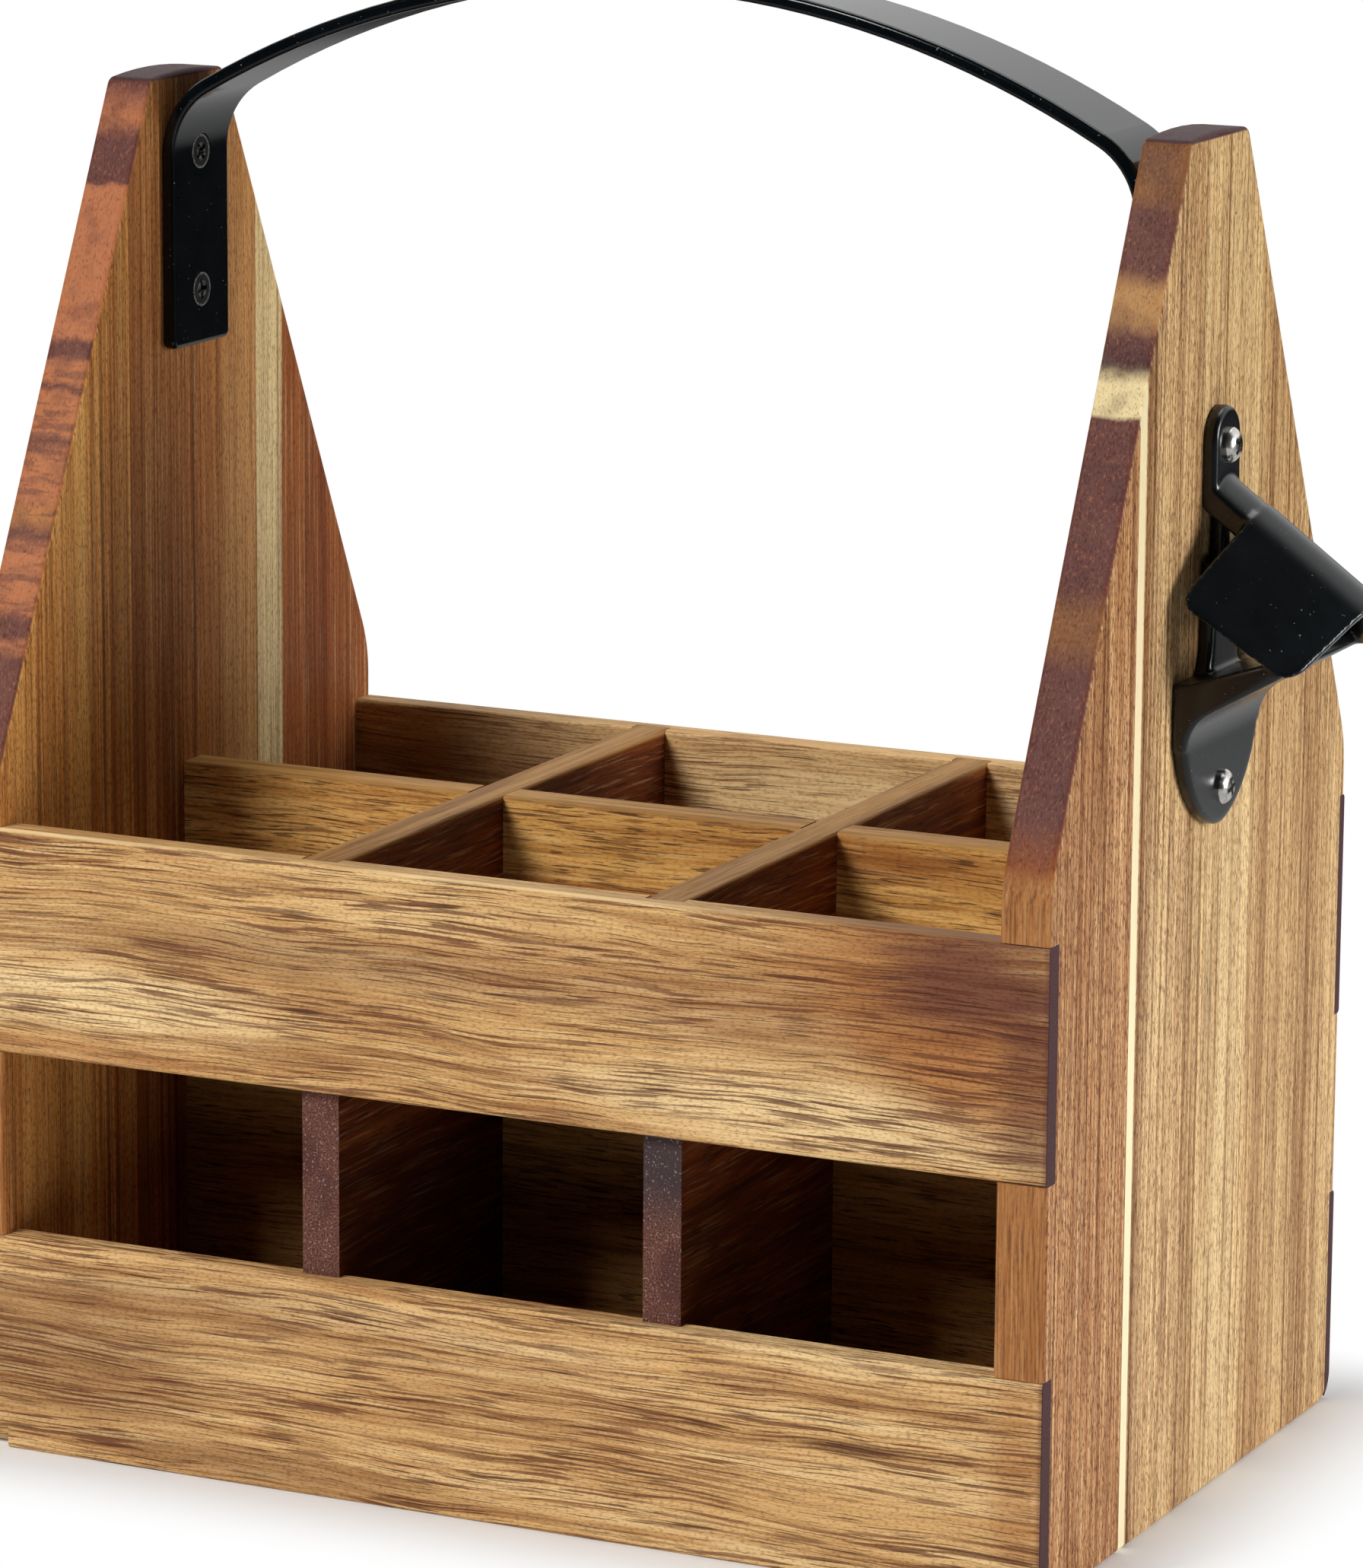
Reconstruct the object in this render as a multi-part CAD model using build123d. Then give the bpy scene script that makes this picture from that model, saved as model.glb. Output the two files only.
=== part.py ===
from build123d import *
import os
from math import atan2, cos, degrees, radians, sin, tan

# Wooden caddy for six bottles with a strap handle and a bottle opener.
# X runs along the caddy, the front is at -Y, Z is up, and the origin is at the
# centre of the underside. Lengths are in millimetres, angles in degrees.

# Body
caddy_length = 262.5
caddy_depth = 172.0
slat_thickness = 7.0
lower_slat_height = 49.5
window_height = 42.0
upper_slat_height = 51.0
slat_ease = 1.0

# End panels, each glued up from upright staves
panel_thickness = 11.5
kink_rise = 12.5
kink_radius = 30.0
slope_rise = 146.0
shoulder_radius = 2.5
crown_width = 33.0
crown_rise = 1.0
foot_radius = 6.5
panel_ease = 1.2
left_seams = (-27.5, 30.5)
right_seams = (-42.5, -7.5, 27.0)
slat_seat_depth = 6.0
front_tongue_thickness = 4.6
rear_tongue_thickness = 3.0

# Dividers and floor
divider_thickness = 9.0
divider_housing = 3.5
divider_ease = 0.8
floor_thickness = 7.0
floor_housing = 4.0
floor_board_count = 3
compartment_count = 3

# Strap handle
strap_width = 25.4
strap_thickness = 3.2
arch_rise = 28.6
bend_drop = 17.6
bend_radius = 18.6
leg_length = 44.0
strap_edge_radius = 1.0
strap_corner_radius = 1.8

# Countersunk screws of the handle
handle_screw_drops = (31.5, 0)
handle_screw_turns = (8.0, 38.0, 20.0, 55.0)
sunk_head_radius = 3.9
sunk_head_height = 2.2
sunk_rim = 0.3
sunk_shank_radius = 1.75
sunk_length = 12.5

# Pan-head screws of the opener
lower_screw_inset = 8.3
upper_screw_inset = 8.5
opener_screw_turns = (18.0, 50.0)
pan_head_radius = 3.8
pan_head_height = 2.1
pan_shank_radius = 2.0
pan_length = 13.0

# Cross recess and screw fits
recess_span = 4.4
recess_slot = 1.1
recess_depth = 1.3
screw_point = 3.0
screw_clearance = 0.2
pilot_depth_clearance = 0.5

# Bottle opener: back plate
opener_rise = 9.9
opener_length = 91.1
opener_plate_thickness = 3.4
opener_plate_ease = 1.1
tab_half_width = 7.2
flare_length = 10.0
leaf_half_width = 22.0
leaf_side_length = 5.0
leaf_bend_rise = 26.0
leaf_tip_radius = 11.0

# Bottle opener: hood
hood_fall_angle = 36.0
hood_ridge_out = 6.5
hood_ridge_drop = 16.9
hood_wall = 2.6
hood_crown_radius = 12.0
hood_side_angle = 42.0
hood_rear_station = 6.0
hood_rear_lean = 3.3
hood_rear_depth = 19.8
hood_mouth_station = 38.8
hood_mouth_depth = 18.3
hood_corner_radius = 3.8

# Bottle opener: neck from the tab to the hood, and the narrow strip behind it
neck_depth = 7.5
neck_overlap = 3.0
neck_inset = 0.4
strip_half_width = 2.2
strip_length = 13.5

# Bottle opener: tongue under the hood
tongue_half_width = 22.0
tongue_root_drop = 5.8
tongue_root_wall = 9.0
tongue_root_radius = 10.0
tongue_reach = 26.4
tongue_lift = 13.3
tongue_lip_wall = 3.0
tongue_lip_slant = 1.5
tongue_corner_radius = 3.0

# One overrun for every cut
overrun = 1.0

# Heights and places that follow from the sizes above
half_length = caddy_length / 2
half_depth = caddy_depth / 2
inner_face = half_length - panel_thickness
slat_inner_face = half_depth - slat_thickness
window_bottom = lower_slat_height
window_top = window_bottom + window_height
rim_height = window_top + upper_slat_height
kink_height = rim_height + kink_rise
shoulder_height = kink_height + slope_rise
lap_height = (floor_thickness + rim_height) / 2
divider_end = slat_inner_face + divider_housing
compartment_width = (2 * inner_face - (compartment_count - 1) * divider_thickness) / compartment_count
divider_pitch = compartment_width + divider_thickness
divider_places = [
    (index - (compartment_count - 2) / 2) * divider_pitch for index in range(compartment_count - 1)
]

# The line of the strap: each bend meets a leg and the arch without a kink
leg_line = inner_face - strap_thickness / 2
bend_line = leg_line - bend_radius
bend_height = shoulder_height - bend_drop
arch_top = shoulder_height + arch_rise - strap_thickness / 2
arch_sag = arch_top - bend_height
arch_radius = (bend_line**2 + arch_sag**2 - bend_radius**2) / (2 * (arch_sag - bend_radius))
arch_height = arch_top - arch_radius
bend_turn = degrees(atan2(bend_height - arch_height, bend_line))
leg_foot_height = bend_height - leg_length
handle_screw_heights = [bend_height - drop for drop in handle_screw_drops]

# Heights on the bottle opener
opener_tip = rim_height + opener_rise
opener_top = opener_tip + opener_length
leaf_bend_height = opener_tip + leaf_bend_rise
leaf_shoulder = leaf_bend_height + leaf_side_length
flare_top = leaf_shoulder + flare_length
hood_ridge_height = opener_top - hood_ridge_drop
strip_top = hood_ridge_height + hood_ridge_out * tan(radians(hood_fall_angle)) - neck_depth
tongue_root_height = leaf_shoulder - tongue_root_drop
tongue_lip_height = tongue_root_height + tongue_lift
opener_screw_heights = (opener_tip + lower_screw_inset, opener_top - upper_screw_inset)


# A box between two limits on each axis
def block(x_limits, y_limits, z_limits):
    limits = (x_limits, y_limits, z_limits)
    sizes = [abs(high - low) for low, high in limits]
    middle = [(high + low) / 2 for low, high in limits]
    return Pos(*middle) * Box(*sizes)


# A limit pair from the middle outwards
def across(half_size, middle=0):
    return (middle - half_size, middle + half_size)


# End panels
def panel_outline():
    half_crown = crown_width / 2
    sides = Polyline(
        (-half_crown, shoulder_height),
        (-half_depth, kink_height),
        (-half_depth, 0),
        (half_depth, 0),
        (half_depth, kink_height),
        (half_crown, shoulder_height),
    )
    crown = ThreePointArc(
        (half_crown, shoulder_height),
        (0, shoulder_height + crown_rise),
        (-half_crown, shoulder_height),
    )
    face = make_face(sides.edges() + crown.edges())
    face = fillet(face.vertices().group_by(Axis.Y)[1], kink_radius)
    face = fillet(face.vertices().group_by(Axis.Y)[-1], shoulder_radius)
    return fillet(face.vertices().group_by(Axis.Y)[0], foot_radius)


# Limits along X from the inner face of a panel outwards, on side -1 or 1
def panel_span(side, start, stop):
    return tuple(sorted((side * (inner_face + start), side * (inner_face + stop))))


# Each slat end has a full seat near the inner face and a thinner tongue from there out
def slat_notches(side):
    through = panel_span(side, -overrun, panel_thickness + overrun)
    seat = panel_span(side, -overrun, slat_seat_depth)
    notches = []
    for bottom, top in ((-overrun, window_bottom), (window_top, rim_height)):
        for face, tongue in ((-1, front_tongue_thickness), (1, rear_tongue_thickness)):
            outside = face * (half_depth + overrun)
            full = sorted((face * slat_inner_face, outside))
            thin = sorted((face * (half_depth - tongue), outside))
            notches.append(block(seat, full, (bottom, top)))
            notches.append(block(through, thin, (bottom, top)))
    return notches


# A rebate for the floor and a groove for the long divider
def inner_grooves(side):
    floor_span = panel_span(side, -overrun, floor_housing)
    divider_span = panel_span(side, -overrun, divider_housing)
    return [
        block(floor_span, across(slat_inner_face), (-overrun, floor_thickness)),
        block(divider_span, across(divider_thickness / 2), (floor_thickness, rim_height)),
    ]


def end_panel(side):
    face = Plane.YZ * panel_outline()
    panel = extrude(face, panel_thickness)
    panel = fillet(panel.faces().filter_by(Axis.X).edges(), panel_ease)
    near = -half_length if side < 0 else inner_face
    panel = Pos(near, 0, 0) * panel
    for cut in slat_notches(side) + inner_grooves(side) + handle_pilots(side):
        panel -= cut
    return panel


def staves(panel, side, seams):
    edges = (-half_depth, *seams, half_depth)
    span = across(panel_thickness, side * (half_length - panel_thickness / 2))
    pieces = []
    for low, high in zip(edges, edges[1:]):
        slab = block(span, (low, high), (-overrun, shoulder_height + crown_rise + overrun))
        pieces.append(panel & slab)
    return pieces


# What the rounded feet of the end panels take off the ends of a lower slat
def foot_offcuts(side):
    arc_line = half_depth - foot_radius
    length = panel_thickness + overrun
    corner = block((0, length), (arc_line, half_depth + overrun), (-overrun, foot_radius))
    round_foot = Rot(0, 90, 0) * Cylinder(foot_radius, length)
    middle = length / 2
    offcut = corner - Pos(middle, arc_line, foot_radius) * round_foot
    turned = offcut if side > 0 else mirror(offcut, Plane.XZ)
    return Pos(inner_face, 0, 0) * turned + Pos(-half_length - overrun, 0, 0) * turned


# Slats, flush in the notches of the end panels, on the front (-1) or the rear (1)
def slat(bottom, top, side, tongue):
    y_limits = sorted((side * slat_inner_face, side * half_depth))
    board = block(across(half_length), y_limits, (bottom, top))
    board = fillet(board.edges().filter_by(Axis.X), slat_ease)
    if bottom < foot_radius:
        board -= foot_offcuts(side)
    housing = sorted((side * (slat_inner_face - overrun), side * divider_end))
    for place in divider_places:
        width = across(divider_thickness / 2, place)
        board -= block(width, housing, (max(bottom, floor_thickness), top + overrun))
    rabbet = sorted((side * (slat_inner_face - overrun), side * (half_depth - tongue)))
    for end in (-1, 1):
        length = sorted((end * (inner_face + slat_seat_depth), end * (half_length + overrun)))
        board -= block(length, rabbet, (bottom - overrun, top + overrun))
    return board


# Dividers, half-lapped where they cross
def cross_divider(place):
    width = across(divider_thickness / 2, place)
    board = block(width, across(divider_end), (floor_thickness, rim_height))
    board = fillet(board.edges().filter_by(Axis.Y).group_by(Axis.Z)[-1], divider_ease)
    slot = across(divider_thickness / 2)
    cut = across(divider_thickness / 2 + overrun, place)
    return board - block(cut, slot, (floor_thickness - overrun, lap_height))


def long_divider():
    thickness = across(divider_thickness / 2)
    board = block(across(inner_face + divider_housing), thickness, (floor_thickness, rim_height))
    board = fillet(board.edges().filter_by(Axis.X).group_by(Axis.Z)[-1], divider_ease)
    cut = across(divider_thickness / 2 + overrun)
    for place in divider_places:
        slot = across(divider_thickness / 2, place)
        board -= block(slot, cut, (lap_height, rim_height + overrun))
    return board


def floor_boards():
    width = 2 * slat_inner_face / floor_board_count
    boards = []
    for index in range(floor_board_count):
        front = -slat_inner_face + index * width
        ends = across(inner_face + floor_housing)
        boards.append(block(ends, (front, front + width), (0, floor_thickness)))
    return boards


# Strap handle: two legs, two bends and one long arch
def arch_face(shift):
    leg = leg_line + shift
    edges = [
        Line((leg, leg_foot_height), (leg, bend_height)),
        CenterArc((bend_line, bend_height), bend_radius + shift, 0, bend_turn),
        CenterArc((0, arch_height), arch_radius + shift, bend_turn, 180 - 2 * bend_turn),
        CenterArc((-bend_line, bend_height), bend_radius + shift, 180 - bend_turn, bend_turn),
        Line((-leg, bend_height), (-leg, leg_foot_height)),
        Line((-leg, leg_foot_height), (leg, leg_foot_height)),
    ]
    return make_face(edges)


def strap_handle():
    band = arch_face(strap_thickness / 2) - arch_face(-strap_thickness / 2)
    strap = extrude(Plane.XZ * band, strap_width / 2, both=True)
    feet = strap.edges().filter_by(Axis.X).group_by(Axis.Z)[0]
    strap = fillet(feet, strap_corner_radius)
    strap = fillet(strap.faces().filter_by(Axis.Y).edges(), strap_edge_radius)
    for side in (-1, 1):
        for height in handle_screw_heights:
            strap -= handle_screw_frame(side, height) * sunk_screw_body(screw_clearance, overrun)
    return strap


# Screws point along -Z of their own frame, with the seat at its origin
def sunk_screw_body(clearance, rise):
    head = sunk_head_radius + clearance
    shank = sunk_shank_radius + clearance
    cone_foot = -sunk_rim - (sunk_head_radius - sunk_shank_radius)
    outline = Polyline(
        (0, rise),
        (head, rise),
        (head, -sunk_rim),
        (shank, cone_foot),
        (shank, screw_point - sunk_length),
        (0, -sunk_length - clearance),
        (0, rise),
    )
    return revolve(Plane.XZ * make_face(outline), Axis.Z)


def pan_screw_body():
    edge_height = pan_head_height / 3
    seat = Line((0, 0), (pan_head_radius, 0))
    edge = Line(seat @ 1, (pan_head_radius, edge_height))
    dome = TangentArc(edge @ 1, (0, pan_head_height), tangent=(-1 / 2, 1))
    axis = Line(dome @ 1, (0, 0))
    head = revolve(Plane.XZ * make_face([seat, edge, dome, axis]), Axis.Z)
    shank = Polyline(
        (0, 0),
        (pan_shank_radius, 0),
        (pan_shank_radius, screw_point - pan_length),
        (0, -pan_length),
        (0, 0),
    )
    return head + revolve(Plane.XZ * make_face(shank), Axis.Z)


def cross_recess(top):
    depth = (top - recess_depth, top + overrun)
    slot = block(across(recess_span / 2), across(recess_slot / 2), depth)
    return slot + Rot(0, 0, 90) * slot


def handle_screw_frame(side, height):
    seat = side * (inner_face - strap_thickness)
    return Pos(seat, 0, height) * Rot(0, -90 * side, 0)


def opener_screw_frame(height):
    return Pos(half_length + opener_plate_thickness, 0, height) * Rot(0, 90, 0)


def handle_screws():
    screw = sunk_screw_body(0, 0) - cross_recess(0)
    places = [(side, height) for side in (-1, 1) for height in handle_screw_heights]
    return [
        handle_screw_frame(side, height) * Rot(0, 0, turn) * screw
        for (side, height), turn in zip(places, handle_screw_turns)
    ]


def opener_screws():
    screw = pan_screw_body() - cross_recess(pan_head_height)
    return [
        opener_screw_frame(height) * Rot(0, 0, turn) * screw
        for height, turn in zip(opener_screw_heights, opener_screw_turns)
    ]


# A pilot hole below a screw's seat, with a flat end
def pilot(shank_radius, length):
    depth = length + pilot_depth_clearance
    hole = Cylinder(shank_radius + screw_clearance, depth + overrun)
    return Pos(0, 0, (overrun - depth) / 2) * hole


def handle_pilots(side):
    cuts = [
        handle_screw_frame(side, height) * pilot(sunk_shank_radius, sunk_length)
        for height in handle_screw_heights
    ]
    if side > 0:
        cuts += [
            opener_screw_frame(height) * pilot(pan_shank_radius, pan_length)
            for height in opener_screw_heights
        ]
    return cuts


# Bottle opener
def opener_outline():
    tab_height = opener_top - tab_half_width
    tip_height = opener_tip + leaf_tip_radius
    drop = leaf_bend_height - tip_height
    rise = leaf_half_width - leaf_tip_radius
    side_radius = (rise**2 + drop**2) / (2 * rise) + leaf_tip_radius
    side_line = leaf_half_width - side_radius
    meet = degrees(atan2(-drop, -side_line))
    tip = CenterArc((0, tip_height), leaf_tip_radius, -90, 90 + meet)
    side = CenterArc((side_line, leaf_bend_height), side_radius, meet, -meet)
    edge = Line(side @ 1, (leaf_half_width, leaf_shoulder))
    flare = TangentArc((tab_half_width, flare_top), edge @ 1, tangent=(0, -1))
    neck = Line((tab_half_width, flare_top), (tab_half_width, tab_height))
    top = CenterArc((0, tab_height), tab_half_width, 0, 90)
    spine = Line(top @ 1, (0, opener_tip))
    half = make_face([tip, side, edge, flare, neck, top, spine])
    return half + mirror(half, Plane.YZ)


# Between the tab and the leaf, the plate thins to a strip where the neck leaves it
def opener_plate():
    face = Plane.YZ * opener_outline()
    plate = extrude(face, opener_plate_thickness)
    plate = fillet(plate.faces().sort_by(Axis.X)[-1].edges(), opener_plate_ease)
    plate = Pos(half_length, 0, 0) * plate
    thickness = (half_length - overrun, half_length + opener_plate_thickness + overrun)
    for side in (-1, 1):
        width = sorted((side * strip_half_width, side * (tab_half_width + overrun)))
        plate -= block(thickness, width, (strip_top - strip_length, strip_top))
    return plate


# A plane across the hood, at a distance down its ridge
def hood_plane(station):
    fall = radians(hood_fall_angle)
    ridge = (half_length + hood_ridge_out, 0, hood_ridge_height)
    along = (cos(fall), 0, -sin(fall))
    origin = [start + station * step for start, step in zip(ridge, along)]
    return Plane(origin, x_dir=(0, 1, 0), z_dir=along)


# The hood's section is a round crown between two straight sides
def hood_section():
    slope = radians(hood_side_angle)
    side = hood_crown_radius * sin(slope)
    shoulder = -hood_crown_radius * (1 - cos(slope))
    depth = hood_rear_depth + overrun
    half_width = side + (depth + shoulder) / tan(slope)
    wall = hood_wall / cos(slope)
    foot = half_width - wall / tan(slope)
    outer = [
        Line((-half_width, -depth), (-side, shoulder)),
        ThreePointArc((-side, shoulder), (0, 0), (side, shoulder)),
        Line((side, shoulder), (half_width, -depth)),
    ]
    inner = [
        Line((foot, -depth), (side, shoulder - wall)),
        ThreePointArc((side, shoulder - wall), (0, -wall), (-side, shoulder - wall)),
        Line((-side, shoulder - wall), (-foot, -depth)),
    ]
    rims = [Line((half_width, -depth), (foot, -depth)), Line((-foot, -depth), (-half_width, -depth))]
    edges = outer + rims[:1] + inner + rims[1:]
    return Face(Wire([edge.edge() for edge in edges]))


# The neck runs along the ridge from inside the plate to the hood's rear edge
def opener_neck():
    crown_drop = hood_crown_radius - (hood_crown_radius**2 - tab_half_width**2) ** 0.5 + neck_inset
    start = -hood_ridge_out / cos(radians(hood_fall_angle))
    crown = ThreePointArc((-tab_half_width, -crown_drop), (0, -neck_inset), (tab_half_width, -crown_drop))
    sides = Polyline(
        (tab_half_width, -crown_drop),
        (tab_half_width, -neck_depth),
        (-tab_half_width, -neck_depth),
        (-tab_half_width, -crown_drop),
    )
    section = make_face(crown.edges() + sides.edges())
    neck = extrude(hood_plane(start) * section, hood_rear_station + hood_rear_lean + neck_overlap - start)
    reach = half_length + hood_ridge_out + hood_mouth_station
    return neck & block((half_length, reach), across(leaf_half_width), (opener_tip, opener_top))


def opener_hood():
    length = hood_mouth_station - hood_rear_station + 2 * overrun
    ridge = hood_plane(0)
    section = hood_plane(hood_rear_station - overrun) * hood_section()
    hood = extrude(section, length, dir=ridge.z_dir)
    rise = hood_corner_radius + overrun
    outline = FilletPolyline(
        (hood_rear_station, rise),
        (hood_rear_station + hood_rear_lean, -hood_rear_depth),
        (hood_mouth_station, -hood_mouth_depth),
        (hood_mouth_station, rise),
        radius=hood_corner_radius,
        close=True,
    )
    side = Plane(ridge.origin, x_dir=ridge.z_dir, z_dir=(0, -1, 0)) * make_face(outline)
    return hood & extrude(side, caddy_depth / 2, both=True)


# The tongue sweeps out of the leaf in a hollow curve and ends in a blunt lip
def opener_tongue():
    top = tongue_root_height + tongue_root_wall
    lift = atan2(tongue_lift, tongue_reach - opener_plate_thickness)
    reach = tongue_root_radius * tan((radians(90) - lift) / 2)
    foot = (opener_plate_thickness, tongue_root_height - reach)
    end = (opener_plate_thickness + reach * cos(lift), tongue_root_height + reach * sin(lift))
    sweep = TangentArc(foot, end, tangent=(0, 1))
    back = Polyline(
        end,
        (tongue_reach, tongue_lip_height),
        (tongue_reach - tongue_lip_slant, tongue_lip_height + tongue_lip_wall),
        (opener_plate_thickness, top),
        (0, top),
        (0, foot[1]),
        foot,
    )
    profile = Plane.XZ * make_face(sweep.edges() + back.edges())
    tongue = extrude(profile, tongue_half_width, both=True)
    rims = tongue.faces().sort_by(Axis.X)[-1].edges().group_by(Axis.Y)
    tongue = fillet(rims[0] + rims[-1], tongue_corner_radius)
    return Pos(half_length, 0, 0) * tongue


def bottle_opener():
    opener = opener_plate() + opener_neck() + opener_hood() + opener_tongue()
    for height in opener_screw_heights:
        hole = pilot(pan_shank_radius, pan_length)
        opener -= opener_screw_frame(height) * hole
    return opener


# Every node, by name
def build_nodes():
    nodes = {}
    panels = (("left", -1, left_seams), ("right", 1, right_seams))
    for name, side, seams in panels:
        for number, stave in enumerate(staves(end_panel(side), side, seams), 1):
            nodes[f"{name}_end_stave_{number}"] = stave
    nodes["front_lower_slat"] = slat(0, window_bottom, -1, front_tongue_thickness)
    nodes["front_upper_slat"] = slat(window_top, rim_height, -1, front_tongue_thickness)
    nodes["rear_lower_slat"] = slat(0, window_bottom, 1, rear_tongue_thickness)
    nodes["rear_upper_slat"] = slat(window_top, rim_height, 1, rear_tongue_thickness)
    for name, place in zip(("left", "right"), divider_places):
        nodes[f"{name}_cross_divider"] = cross_divider(place)
    nodes["long_divider"] = long_divider()
    for name, board in zip(("front", "middle", "rear"), floor_boards()):
        nodes[f"{name}_floor_board"] = board
    nodes["strap_handle"] = strap_handle()
    nodes["handle_screws"] = Compound(handle_screws())
    nodes["bottle_opener"] = bottle_opener()
    nodes["opener_screws"] = Compound(opener_screws())
    return nodes


os.makedirs("parts", exist_ok=True)
for node, shape in build_nodes().items():
    export_step(shape, f"parts/{node}.step")
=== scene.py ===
import math

import bpy
from mathutils import Matrix, Vector


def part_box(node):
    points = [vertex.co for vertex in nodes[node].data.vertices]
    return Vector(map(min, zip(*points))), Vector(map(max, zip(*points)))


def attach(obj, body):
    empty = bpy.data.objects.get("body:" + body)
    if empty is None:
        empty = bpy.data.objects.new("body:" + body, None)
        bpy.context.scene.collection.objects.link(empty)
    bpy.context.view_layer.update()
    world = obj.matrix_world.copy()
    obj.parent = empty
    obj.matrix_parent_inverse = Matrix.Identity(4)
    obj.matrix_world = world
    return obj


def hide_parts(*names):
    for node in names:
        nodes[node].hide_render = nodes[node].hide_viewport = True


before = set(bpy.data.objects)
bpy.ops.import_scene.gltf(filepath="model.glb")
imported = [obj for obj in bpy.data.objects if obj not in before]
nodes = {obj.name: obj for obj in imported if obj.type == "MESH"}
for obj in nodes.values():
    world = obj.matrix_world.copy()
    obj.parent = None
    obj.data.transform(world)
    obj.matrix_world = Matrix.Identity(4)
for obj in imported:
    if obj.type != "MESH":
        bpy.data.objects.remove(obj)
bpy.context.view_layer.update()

print("frame loaded:", len(nodes), "nodes")


# Camera, fitted to the photograph's edges, for a picture of 1792 x 2061
camera = {
    "eye": (0.6589, -1.3571, 0.4666),
    "right": (0.90041, 0.43500, 0.00656),
    "up": (-0.09566, 0.18326, 0.97841),
    "lens": 181.9,
    "sensor": 36.0,
    "clipEnd": 20,
}


def makeCamera():
    data = bpy.data.cameras.new("camera")
    data.lens = camera["lens"]
    data.sensor_fit = "HORIZONTAL"
    data.sensor_width = camera["sensor"]
    data.clip_end = camera["clipEnd"]
    holder = bpy.data.objects.new("camera", data)
    bpy.context.scene.collection.objects.link(holder)
    right = Vector(camera["right"]).normalized()
    back = right.cross(Vector(camera["up"])).normalized()
    turned = Matrix((right, back.cross(right), back)).transposed().to_4x4()
    holder.matrix_world = Matrix.Translation(camera["eye"]) @ turned
    bpy.context.scene.camera = holder
    bpy.context.scene.view_settings.view_transform = "Standard"


makeCamera()
print("camera set")


# Shader maths: an expression on wires adds the Math nodes it needs
class Wire:
    def __init__(self, tree, socket):
        self.tree = tree
        self.socket = socket

    def node(self, kind, settings, inputs, output=0):
        made = self.tree.nodes.new(kind)
        for name, value in settings.items():
            if name == "stops":
                placeStops(made.color_ramp, value)
            else:
                setattr(made, name, value)
        for name, value in inputs.items():
            if isinstance(value, Wire):
                self.tree.links.new(value.socket, made.inputs[name])
            else:
                made.inputs[name].default_value = value
        return Wire(self.tree, made.outputs[output])

    def maths(self, operation, *others):
        values = dict(enumerate((self, *others)))
        return self.node("ShaderNodeMath", {"operation": operation}, values)

    def __add__(self, other):
        return self.maths("ADD", other)

    __radd__ = __add__

    def __mul__(self, other):
        return self.maths("MULTIPLY", other)

    __rmul__ = __mul__

    def __sub__(self, other):
        return self.maths("SUBTRACT", other)

    def __rsub__(self, other):
        return (self * -1).maths("ADD", other)

    def __truediv__(self, other):
        return self.maths("DIVIDE", other)

    def __abs__(self):
        return self.maths("ABSOLUTE")

    # 0 below low, 1 above high, smooth between them; low may be the larger one
    def rise(self, low, high):
        inputs = {"Value": self, "From Min": low, "From Max": high}
        return self.node("ShaderNodeMapRange", {"interpolation_type": "SMOOTHSTEP"}, inputs)

    def between(self, low, high, soft):
        return self.rise(low - soft, low + soft) * self.rise(high + soft, high - soft)

    # 1 at a limit: start and end are how far before it this begins and is full
    def nearing(self, limit, start, end):
        return self.rise(limit - start, limit - end)

    def noise(self, scale=1.0, detail=2.0, roughness=0.5):
        inputs = {"Vector": self, "Scale": scale, "Detail": detail, "Roughness": roughness}
        return self.node("ShaderNodeTexNoise", {"noise_dimensions": "3D"}, inputs)

    def ramp(self, stops):
        return self.node("ShaderNodeValToRGB", {"stops": stops}, {"Fac": self})

    # This colour, with another laid over it where the factor is 1
    def under(self, colour, factor, kind="MIX"):
        settings = {"data_type": "RGBA", "blend_type": kind}
        inputs = {0: factor, 6: self, 7: colour}
        return self.node("ShaderNodeMix", settings, inputs, output=2)

    def parts(self):
        made = self.node("ShaderNodeSeparateXYZ", {}, {0: self})
        outputs = made.socket.node.outputs
        return [Wire(self.tree, outputs[index]) for index in range(3)]

    def joined(self, x, y, z):
        return self.node("ShaderNodeCombineXYZ", {}, {0: x, 1: y, 2: z})

    def length(self):
        return self.node("ShaderNodeVectorMath", {"operation": "LENGTH"}, {0: self}, output=1)


def placeStops(colourRamp, stops):
    while len(colourRamp.elements) < len(stops):
        colourRamp.elements.new(0.5)
    for element, (place, colour) in zip(colourRamp.elements, stops):
        element.position = place
        element.color = colour


# A colour written as on a screen, 0 to 255, as the shader wants it
def tone(red, green, blue):
    linear = []
    for value in (red, green, blue):
        share = value / 255
        linear.append(share / 12.92 if share <= 0.04045 else ((share + 0.055) / 1.055) ** 2.4)
    return (*linear, 1.0)


def newMaterial(name):
    made = bpy.data.materials.new(name)
    made.use_nodes = True
    tree = made.node_tree
    shader = tree.nodes["Principled BSDF"]
    place = tree.nodes.new("ShaderNodeTexCoord")
    return made, shader, Wire(tree, place.outputs["Object"])


def feed(shader, name, wire):
    wire.tree.links.new(wire.socket, shader.inputs[name])


def feedBump(shader, height, depth):
    inputs = {"Strength": 1.0, "Distance": depth, "Height": height}
    feed(shader, "Normal", height.node("ShaderNodeBump", {}, inputs))


def dress(name, material):
    for slot in nodes[name].material_slots:
        slot.material = material


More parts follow.
